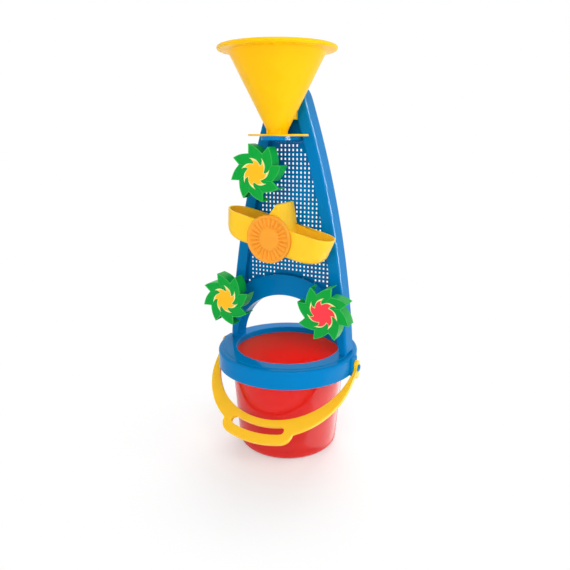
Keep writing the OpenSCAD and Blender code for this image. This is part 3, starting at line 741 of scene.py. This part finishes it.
def make_funnel():
    """The funnel on its foot plate, with two fins behind and two ribs at its neck."""
    parts = [make_funnel_cone(), make_funnel_foot()]
    fin_x, fin_t, fin_low, fin_high, fin_back = 14, 3, 18.5, 29.4, TOWER_FRONT - 0.4
    outline = [(-18.6, fin_low), (fin_back, fin_low), (fin_back, fin_high), (-11.2, fin_high)]
    for x in (-fin_x, fin_x):
        fin = plate("fin", [(x - fin_t / 2, y, SHELF_Z + z) for y, z in outline], (fin_t, 0, 0))
        ease_edges(fin, 0.5)
        parts.append(fin)
    rib_in, rib_out, rib_half, rib_h = 11, 13.6, 1, 8
    middle = Vector((0, FUNNEL_Y, SHELF_Z + 1))
    for turn in (-50, -130):
        across = polar(1, turn).to_3d()
        beside = Vector((-across.y, across.x, 0)) * rib_half
        corners = [middle + across * rib_in - beside, middle + across * rib_out - beside,
                   middle + across * rib_out + beside, middle + across * rib_in + beside]
        rib = plate("rib", corners, (0, 0, rib_h))
        ease_edges(rib, 0.4)
        parts.append(rib)
    finished(joined(parts), "funnel", ["funnel"], yellow_plastic, 32)


make_funnel()


# Pinwheels

VANES = 8
VALLEY_R = 24
TIP_R = 34.5
TIP_LEAD = 38
VANE_BOW = 1.6
ROOT_R = 5
ROOT_LAG = 30
RIDGE_IN = 15
RIDGE_OUT = 24.5


def vane_edge(start, steps):
    """The long bowed edge of a vane, from its valley to its tip."""
    return bowed(polar(VALLEY_R, start), polar(TIP_R, start + TIP_LEAD), VANE_BOW, steps)


def vane_path(steps):
    """A vane's outer face, curling from the hub to the valley and on to the tip."""
    shares = [i / steps for i in range(steps)]
    root = [polar(ROOT_R + (VALLEY_R - ROOT_R) * share, ROOT_LAG * (share ** 0.8 - 1))
            for share in shares]
    return root + vane_edge(0, steps)


def vane_band(thickness, tip_thickness, steps):
    """The closed outline of a vane, a band that thins out at its tip."""
    path = vane_path(steps)
    last = len(path) - 1
    inner = []
    for i, point in enumerate(path):
        along = path[min(i + 1, last)] - path[max(i - 1, 0)]
        inside = Vector((-along.y, along.x)).normalized()
        inner.append(point + inside * (tip_thickness if i == last else thickness))
    return path + inner[::-1]


def ridge_band(width, steps):
    """The closed outline of a fine ridge that leads from the star to a valley."""
    path = [point for point in vane_path(steps) if RIDGE_IN < point.length < RIDGE_OUT]
    return path + [point + polar(width, 60) for point in reversed(path)]


def on_wheel(centre, phase, side):
    """A way to place a wheel's flat points: turned by a phase and handed by a side."""
    turn = math.radians(phase)

    def place(point, depth):
        """Where a point goes, at a depth behind the wheel's front."""
        u = point.x * math.cos(turn) - point.y * math.sin(turn)
        v = point.x * math.sin(turn) + point.y * math.cos(turn)
        return (centre.x + side * u, WHEEL_FRONT + depth, centre.z + v)
    return place


def raise_rim(front, width, rise):
    """Leaves a raised edge round the front of a plate by sinking the rest of its face."""
    pick(front)
    unmark(front.data)
    for face in front.data.polygons:
        face.select = face.normal.y < -0.99
    enter_edit()
    bpy.ops.mesh.select_mode(type="FACE")
    bpy.ops.mesh.inset(thickness=width * MM)
    bpy.ops.mesh.inset(thickness=rise * MM, depth=-rise * MM)
    bpy.ops.mesh.select_mode(type="VERT")
    leave_edit()


def copied_round(piece, centre):
    """Copies a piece round a wheel's axle, once for each vane."""
    pick(piece)
    enter_edit()
    bpy.ops.mesh.select_all(action="SELECT")
    bpy.ops.mesh.spin(steps=VANES - 1, dupli=True, angle=2 * math.pi * (VANES - 1) / VANES,
                      center=Vector((centre.x, 0, centre.z)) * MM, axis=BACKWARDS)
    bpy.ops.mesh.select_all(action="SELECT")
    bpy.ops.mesh.normals_make_consistent(inside=False)
    leave_edit()


def make_rotor(name, node, body, joint, phase, side):
    """A pinwheel: a saw-toothed plate with a raised edge and ridges, on curled vanes and a hub."""
    face_t, rise, rim_w, ridge_w, sunk = 2.4, 0.5, 0.6, 0.7, 0.3
    vane_t, tip_t, back = 1.8, 0.5, 1
    bore_r, hub_r, hub_edge = 2.55, 6.5, 0.4
    centre = JOINT_AT[joint]
    place = on_wheel(centre, phase, side)
    teeth = [point for k in range(VANES) for point in vane_edge(k * 360 / VANES, 5)]
    front = plate(name, [place(point, -rise) for point in teeth], (0, face_t + rise, 0))
    raise_rim(front, rim_w, rise)
    line = [place(point, -rise) for point in ridge_band(ridge_w, 8)]
    ridge = plate("ridge", line, (0, rise + sunk, 0))
    band = [place(point, back) for point in vane_band(vane_t, tip_t, 8)]
    vane = plate("vane", band, (0, VANE_DEPTH - back, 0))
    copied_round(ridge, centre)
    copied_round(vane, centre)
    section = [(bore_r, back), (hub_r, back), (hub_r, VANE_DEPTH - hub_edge),
               (hub_r - hub_edge, VANE_DEPTH), (bore_r, VANE_DEPTH), (bore_r, back)]
    hub = turned("hub", section, (centre.x, WHEEL_FRONT, centre.z), BACKWARDS, SMALL_ROUND)
    for piece, width in ((front, 0.2), (ridge, 0.2), (vane, 0.3)):
        ease_edges(piece, width, 2, 40)
    rotor = joined([front, ridge, vane, hub])
    finished(rotor, body, [node], green_plastic, 40)


make_rotor("pinwheel_upper", "rotor_upper", "wheel_upper", "upper_spin", -22.6, 1)
make_rotor("pinwheel_left", "rotor_left", "wheel_left", "left_spin", -19.5, 1)
make_rotor("pinwheel_right", "rotor_right", "wheel_right", "right_spin", -19.8, -1)


# Stars on the pinwheels

SPIKES = 7

# Outlines of a border and of its face: radius of tips and of valleys, lead, bow and hollow
SMALL_STAR = (18.8, 10.7, 13, 3, 1.5), (14.9, 9.8, 4.2, 2.4, 1.1)
LARGE_STAR = (19.6, 11.7, 12, 3.3, 1.4), (16.7, 10.8, 5.2, 2.75, 1.3)


def star_outline(tip_r, valley_r, lead, bow, hollow):
    """Seven swirling spikes: a long bowed edge out to each tip and a short hollow edge back."""
    points = []
    step = 360 / SPIKES
    for k in range(SPIKES):
        start, end = polar(valley_r, k * step), polar(valley_r, (k + 1) * step)
        tip = polar(tip_r, (k + 1) * step + lead)
        points += bowed(start, tip, bow, 8) + bowed(tip, end, -hollow, 4)[1:-1]
    return points


def make_star(name, body, joint, phase, side, finish, shapes):
    """A star of film on a pinwheel's face, on a cream star that shows as its edge and tips."""
    gap, border_t, face_t = 0.05, 0.6, 0.4
    place = on_wheel(JOINT_AT[joint], phase, side)
    border, inner = (star_outline(*shape) for shape in shapes)
    edge = plate(name + "_edge", [place(point, -gap) for point in border], (0, -border_t, 0))
    finished(edge, body, [], cream_film)
    places = [place(point, -gap - border_t) for point in inner]
    face = plate(name + "_face", places, (0, -face_t, 0))
    finished(face, body, [name], finish)


make_star("star_upper", "wheel_upper", "upper_spin", -0.6, 1, yellow_film,
          SMALL_STAR)
make_star("star_left", "wheel_left", "left_spin", 29.5, 1, yellow_film,
          SMALL_STAR)
make_star("star_right", "wheel_right", "right_spin", 31.4, -1, red_film,
          LARGE_STAR)


# Rocker

ROCKER_L = 71
ROCKER_RIM = 17
ROCKER_DROP = 16
ROCKER_WALL = 2
ROCKER_REST = 13.5
SCOOP_ROUND = 15
SCOOP_LEAN = 11
WEDGE_H = 41.5
WEDGE_TOP = 1.2
WEDGE_LEAN = 24


def wedge_half(height):
    """Half the wedge's width at a height."""
    return WEDGE_TOP + (WEDGE_H - height) * math.tan(math.radians(WEDGE_LEAN))


def scoop_reach(height, inset):
    """How far a scoop reaches at a height: a rounded bottom corner under a leaning end."""
    lean = math.radians(SCOOP_LEAN)
    v = SCOOP_ROUND - ROCKER_DROP
    u = ROCKER_L - math.tan(lean) * (ROCKER_RIM - v) - SCOOP_ROUND / math.cos(lean)
    radius = SCOOP_ROUND - inset
    if height < v - radius * math.sin(lean):
        return u + math.sqrt(max(0, radius ** 2 - (height - v) ** 2))
    return ROCKER_L + math.tan(lean) * (height - ROCKER_RIM) - inset / math.cos(lean)


def scoop_half(height, inset, edge):
    """Half the depth of a scoop at a height, with a rounded edge along its bottom."""
    up = height + ROCKER_DROP - inset
    drawn_in = edge - math.sqrt(max(0, edge ** 2 - max(0, edge - up) ** 2))
    return ROCKER_DEPTH / 2 - inset - drawn_in


def scoop_heights(inset, edge, top):
    """Heights to loft through, close together where the bottom is round."""
    low = inset - ROCKER_DROP
    close = [low + edge * (1 - math.cos(math.pi / 2 * i / 5)) for i in range(6)]
    return close + [low + edge + (top - low - edge) * i / 8 for i in range(1, 9)]


def scoop_ring(height, inset, edge):
    """The round end of the right scoop at a height, from its front to its back."""
    half = scoop_half(height, inset, edge)
    end = arc((scoop_reach(height, inset) - half, 0), half, -90, 90, 32)
    return [(x, y, height) for x, y in end]


def mirrored(points, side):
    """Points as they are, or on the left side."""
    return [(side * x, y, z) for x, y, z in points]


def make_rocker():
    """The double scoop with its wedge, made level round its axle and then tipped to its rest."""
    half, edge, inner_edge, flush = ROCKER_DEPTH / 2, 4.5, 3, 0.02
    vault_wall, vault_top, bore_r, hub_r = 2.4, 3.4, 3.05, 7.5
    rings = []
    for height in scoop_heights(0, edge, ROCKER_RIM):
        end = scoop_ring(height, 0, edge)
        rings.append(end + mirrored(end, -1)[::-1])
    rocker = stacked("rocker_scoops", rings)
    foot = wedge_half(0)
    roof = [(-foot, 0), (foot, 0), (WEDGE_TOP, WEDGE_H), (-WEDGE_TOP, WEDGE_H)]
    combine(rocker, upright("wedge", roof, flush - half, half - flush), "UNION")
    for side in (-1, 1):
        rings = []
        for height in scoop_heights(ROCKER_WALL, inner_edge, ROCKER_RIM + PAST):
            end = scoop_ring(height, ROCKER_WALL, inner_edge)
            foot, depth = wedge_half(height), scoop_half(height, ROCKER_WALL, inner_edge)
            ring = [(foot, -depth, height)] + end + [(foot, depth, height)]
            rings.append(mirrored(ring, side))
        combine(rocker, stacked("hollow", rings), "DIFFERENCE")
    under = -ROCKER_DROP - PAST
    foot = wedge_half(under) - vault_wall
    vault = [(-foot, under), (foot, under), (0, WEDGE_H - vault_top)]
    combine(rocker, upright("vault", vault, ROCKER_WALL - half, half - ROCKER_WALL), "DIFFERENCE")
    ease_edges(rocker, 0.5, 2, 35)
    section = [(bore_r, -half), (hub_r, -half), (hub_r, half), (bore_r, half), (bore_r, -half)]
    hub = turned("hub", section, ORIGIN, BACKWARDS, SMALL_ROUND)
    rocker = joined([rocker, hub])
    axle = JOINT_AT["rocker_tip"]
    put(rocker, (0, ROCKER_REST, 0), (axle.x, ROCKER_FRONT + half, axle.z))
    finished(rocker, "rocker", ["rocker"], soft_yellow_plastic, 35)


make_rocker()


# Fluted disc on the rocker

FLUTES = 24
FLUTE_IN = 14
FLUTE_OUT = 24
FLUTE_DEPTHS = (0.1, 0.6, 1.5, 2, 1.5, 0.6, 0.1)


def make_disc():
    """A round disc with a raised rim, a ring of flutes and a plain boss in the middle."""
    radius, thick, rim_edge, back_edge, gap, face_z = 28.5, 5, 1.4, 0.6, 0.05, 3.5
    steps_each = len(FLUTE_DEPTHS) + 1
    steps = FLUTES * steps_each
    axle = JOINT_AT["rocker_tip"]
    centre = Vector((axle.x, ROCKER_FRONT - gap, axle.z))
    section = [(0, thick), (9, 4.9), (11.6, 4.6), (12.6, 4.1), (13.2, 3.8), (14.4, 4.1),
               (16, 4.4), (18, 4.5), (20, 4.5), (22, 4.4), (23.6, 4.1), (24.6, 3.8),
               (25.1, 4.3), (25.8, 4.9)]
    section += arc((radius - rim_edge, thick - rim_edge), rim_edge, 90, 0, 5)
    section += [(radius, back_edge), (radius - back_edge, 0), (0, 0)]
    disc = turned("fluted_disc", section, centre, FORWARDS, steps)
    face = centre.y - face_z
    for step, depth in enumerate(FLUTE_DEPTHS, 1):
        pick(disc)
        unmark(disc.data)
        for vertex in disc.data.vertices:
            place = vertex.co / MM
            out = Vector((place.x - centre.x, place.z - centre.z))
            turn = math.degrees(math.atan2(out.y, out.x)) % 360
            in_step = round(turn / 360 * steps) % steps_each == step
            in_ring = FLUTE_IN < out.length < FLUTE_OUT and place.y < face
            vertex.select = in_ring and in_step
        enter_edit()
        bpy.ops.transform.translate(value=(0, depth * MM, 0))
        leave_edit()
    finished(disc, "rocker", ["sun_disc"], orange_plastic, 50)


make_disc()


# Bail handle and its pegs

LOOP_R = 94
LOOP_DROP = 2
ARM_X = 94.4
TAB_T = 4.2

# How far forward of hanging straight down the bail rests, in degrees
BAIL_REST = 53


def curved_bar(inner, height, length):
    """The outline of a bar that follows the curve of the loop and has round ends."""
    end_r = height / 2
    middle = inner + end_r
    turn = math.degrees(math.asin((length / 2 - end_r) / middle))
    outline = arc((0, 0), inner + height, 90 - turn, 90 + turn, 24)
    outline += arc(polar(middle, 90 + turn), end_r, 90 + turn, 270 + turn, 16)[1:-1]
    outline += arc((0, 0), inner, 90 + turn, 90 - turn, 24)
    return outline + arc(polar(middle, 90 - turn), end_r, 270 - turn, 450 - turn, 16)[1:-1]


def circles_meet(centre_a, radius_a, centre_b, radius_b):
    """The point farther to the right of the two in which two circles meet."""
    between = centre_b - centre_a
    along = (radius_a ** 2 - radius_b ** 2 + between.length_squared) / (2 * between.length)
    across = math.sqrt(radius_a ** 2 - along ** 2)
    way = between.normalized()
    foot = centre_a + way * along
    side = Vector((-way.y, way.x)) * across
    return max(foot + side, foot - side, key=lambda point: point.x)


def angle_of(point):
    """The angle of a point round the origin, in degrees."""
    return math.degrees(math.atan2(point.y, point.x))


def make_band():
    """The bail's flat band, which widens to a grip with a hand slot, at its rest."""
    band_r, band_c, thick, sunk = 97.6, Vector((0, 20)), 5, 0.1
    bar, slot_l, slot_h, low_bar, past_slot, end_r = 10.5, 73, 10.5, 12, 11, 15
    middle = LOOP_R + bar + slot_h + low_bar - end_r
    turn = math.degrees(math.asin((slot_l / 2 + past_slot - end_r) / middle))
    end_c = polar(middle, 90 - turn)
    shoulder = circles_meet(band_c, band_r, end_c, end_r)
    arm_in, arm_out = ARM_X + sunk, ARM_X + TAB_T - sunk
    outer = [(arm_out, -1), (arm_out, 9), (arm_out - 0.25, 15)]
    outer += arc(band_c, band_r, 3, angle_of(shoulder - band_c), 28)
    outer += arc(end_c, end_r, angle_of(shoulder - end_c), 90 - turn, 14)[1:]
    grip = arc((0, 0), middle + end_r, 90 - turn, 90 + turn, 24)[1:-1]
    inner = [(arm_in, -1), (arm_in, 12.6), (ARM_X - 0.3, 14.2), (ARM_X - 0.9, 15)]
    loop = arc((0, LOOP_DROP), LOOP_R, 9, 171, 64)
    outline = outer + grip + [(-x, y) for x, y in reversed(outer)]
    outline += [(-x, y) for x, y in inner] + loop[::-1] + inner[::-1]
    band = plate("bail_handle", [(x, y, -thick / 2) for x, y in outline], (0, 0, thick))
    slot = curved_bar(LOOP_R + bar, slot_h, slot_l)
    cutter = plate("slot", [(x, y, -thick) for x, y in slot], (0, 0, 2 * thick))
    combine(band, cutter, "DIFFERENCE")

    def at_shoulder(place):
        """Whether a place lies where the band meets the grip's round end."""
        near = 0.2
        return abs(abs(place.x) - shoulder.x) < near and abs(place.y - shoulder.y) < near

    round_edges(band, 6, 6, at_shoulder, 12)
    ease_edges(band, 1.4, 3, 40)
    put(band, (270 - BAIL_REST, 0, 0), JOINT_AT["bail_swing"])
    return band


def make_tab(side):
    """One of the bail's upright tabs, with an eye for its peg."""
    tab_r, fore, up, down, eye_r, past_tab = 5.2, 0.8, 10, 14, 3.05, 2
    pivot = JOINT_AT["bail_swing"]
    outline = arc((-fore, up - tab_r), tab_r, 0, 180, 20)
    outline += arc((-fore, tab_r - down), tab_r, 180, 360, 20)
    places = [(side * ARM_X, pivot.y + y, pivot.z + z) for y, z in outline]
    tab = plate("tab", places, (side * TAB_T, 0, 0))
    eye = drill(eye_r, ARM_X - past_tab, ARM_X + TAB_T + past_tab, pivot, (side, 0, 0),
                SMALL_ROUND)
    combine(tab, eye, "DIFFERENCE")
    ease_edges(tab, 0.9, 3, 40)
    return tab


def make_handle():
    """The bail: a band with a grip, on two upright tabs."""
    bail = joined([make_band(), make_tab(-1), make_tab(1)])
    finished(bail, "handle", ["handle"], soft_yellow_plastic, 35)


make_handle()


def make_peg(name, side):
    """A peg with a domed head that the bail's eye turns on."""
    shank_r, shank_l, point, head_r, head_edge, gap = 3, 13.4, 0.8, 4.4, 0.2, 0.4
    dome_r, dome_z = 5.6, -3.6
    place = (side * (ARM_X + TAB_T + gap), 0, JOINT_AT["bail_swing"].z)
    section = [(0, -shank_l), (shank_r - point, -shank_l), (shank_r, point - shank_l),
               (shank_r, 0), (head_r - head_edge, 0), (head_r, head_edge), (head_r, 0.8)]
    section += arc((0, dome_z), dome_r, 52, 90, 6)
    peg = turned(name, section, place, (side, 0, 0), SMALL_ROUND)
    finished(peg, "tower", [name], blue_plastic, 40)


make_peg("handle_peg_left", -1)
make_peg("handle_peg_right", 1)


# Studio

def background_rays(nodes, links):
    """A mask of the rays that see a white background: the camera's, and in gloss and glass."""
    path = nodes.new("ShaderNodeLightPath")
    mask = path.outputs["Is Camera Ray"]
    for kind in ("Is Glossy Ray", "Is Transmission Ray"):
        either = math_node(nodes, "MAXIMUM")
        links.new(mask, either.inputs[0])
        links.new(path.outputs[kind], either.inputs[1])
        mask = either.outputs["Value"]
    return mask


def studio_floor():
    """A wide pale floor that keeps the toy's shadow and runs out to white."""
    wide, drop, grey = 12, 0.5 * MM, 0.9
    fade_starts, fade_ends, white_in_shadow = 0.09, 0.27, 0.4
    pick_nothing()
    bpy.ops.mesh.primitive_plane_add(size=wide, location=(0, 0, -drop))
    floor = bpy.context.object
    floor.name = "studio_floor"
    bpy.ops.object.transform_apply(location=True)
    material, nodes, links, shader = new_material("pale_floor")
    set_inputs(shader, {"Base Color": (grey, grey, grey, 1), "Roughness": 0.6,
                        "Specular IOR Level": 0.2})
    white = nodes.new("ShaderNodeEmission")
    set_inputs(white, {"Color": WHITE})
    place = nodes.new("ShaderNodeTexCoord")
    away = math_node(nodes, "LENGTH", "ShaderNodeVectorMath")
    links.new(place.outputs["Object"], away.inputs[0])
    fade = nodes.new("ShaderNodeMapRange")
    fade.interpolation_type = "SMOOTHSTEP"
    set_inputs(fade, {"From Min": fade_starts, "From Max": fade_ends, "To Min": white_in_shadow})
    links.new(away.outputs["Value"], fade.inputs["Value"])
    share = math_node(nodes, "MULTIPLY")
    links.new(fade.outputs["Result"], share.inputs[0])
    links.new(background_rays(nodes, links), share.inputs[1])
    mixed = nodes.new("ShaderNodeMixShader")
    links.new(share.outputs["Value"], mixed.inputs["Fac"])
    links.new(shader.outputs["BSDF"], mixed.inputs[1])
    links.new(white.outputs["Emission"], mixed.inputs[2])
    links.new(mixed.outputs["Shader"], nodes["Material Output"].inputs["Surface"])
    floor.data.materials.append(material)


def studio_world():
    """An even surround: white to the camera and in gloss and glass, and softer as a light."""
    as_light = 0.42
    world = bpy.data.worlds.new("studio")
    bpy.context.scene.world = world
    world.use_nodes = True
    nodes, links = world.node_tree.nodes, world.node_tree.links
    back = nodes["Background"]
    set_inputs(back, {"Color": WHITE})
    level = nodes.new("ShaderNodeMapRange")
    set_inputs(level, {"To Min": as_light})
    links.new(background_rays(nodes, links), level.inputs["Value"])
    links.new(level.outputs["Result"], back.inputs["Strength"])


def softbox(name, place, target, size, power, in_matt=True, in_gloss=True):
    """An oblong lamp that faces a point; it lights matt faces, shows in glossy ones, or both."""
    lamp = bpy.data.lights.new(name, "AREA")
    lamp.shape = "RECTANGLE"
    lamp.size, lamp.size_y = size
    lamp.energy = power
    holder = bpy.data.objects.new(name, lamp)
    bpy.context.scene.collection.objects.link(holder)
    holder.location = place
    holder.visible_camera = False
    holder.visible_diffuse = in_matt
    holder.visible_glossy = in_gloss
    aim = Vector(target) - Vector(place)
    holder.rotation_euler = aim.to_track_quat("-Z", "Y").to_euler()
    return holder


def light_only(holder, piece):
    """Keeps a lamp's light to one piece."""
    lit = bpy.data.collections.new(holder.name + "_lights")
    lit.objects.link(piece)
    holder.light_linking.receiver_collection = lit


def photo_camera():
    """The camera at the place, turn and tilt of the photograph."""
    turn, pitch = 0.4618, 0.2645
    sensor, focal_px, photo_px = 36, 562.43, 570
    camera = bpy.data.cameras.new("photo_camera")
    camera.sensor_fit = "HORIZONTAL"
    camera.sensor_width = sensor
    camera.lens = focal_px / photo_px * sensor
    camera.clip_start = 0.01
    holder = bpy.data.objects.new("photo_camera", camera)
    bpy.context.scene.collection.objects.link(holder)
    holder.location = (0.30758, -0.62667, 0.40388)
    holder.rotation_euler = (math.pi / 2 - pitch, 0, turn)
    bpy.context.scene.camera = holder


studio_floor()
studio_world()
photo_camera()
softbox("key_softbox", (0.7, -1.1, 1.6), (0, 0, 0.2), (1.2, 1.2), 13.5)
softbox("front_softbox", (0.3, -1.8, 0.5), (0, 0, 0.3), (1.4, 0.9), 11.5, in_gloss=False)
softbox("side_softbox", (1.2, 0.3, 0.42), (0, 0, 0.3), (0.5, 0.8), 6.5, in_gloss=False)
edge_softbox = softbox("edge_softbox", (1.2, 0.3, 0.6), (0, 0, 0.35), (0.9, 1.1), 220,
                       in_matt=False)
light_only(edge_softbox, tower_frame)
softbox("back_softbox", (-0.3, 1.3, 1.0), (0, 0, 0.15), (1.2, 1.2), 22, in_gloss=False)
softbox("bounce_card", (0.22, 0.09, 0.002), (0.22, 0.09, 1), (0.3, 0.3), 0.5, in_matt=False)

bpy.context.scene.view_settings.view_transform = "Standard"
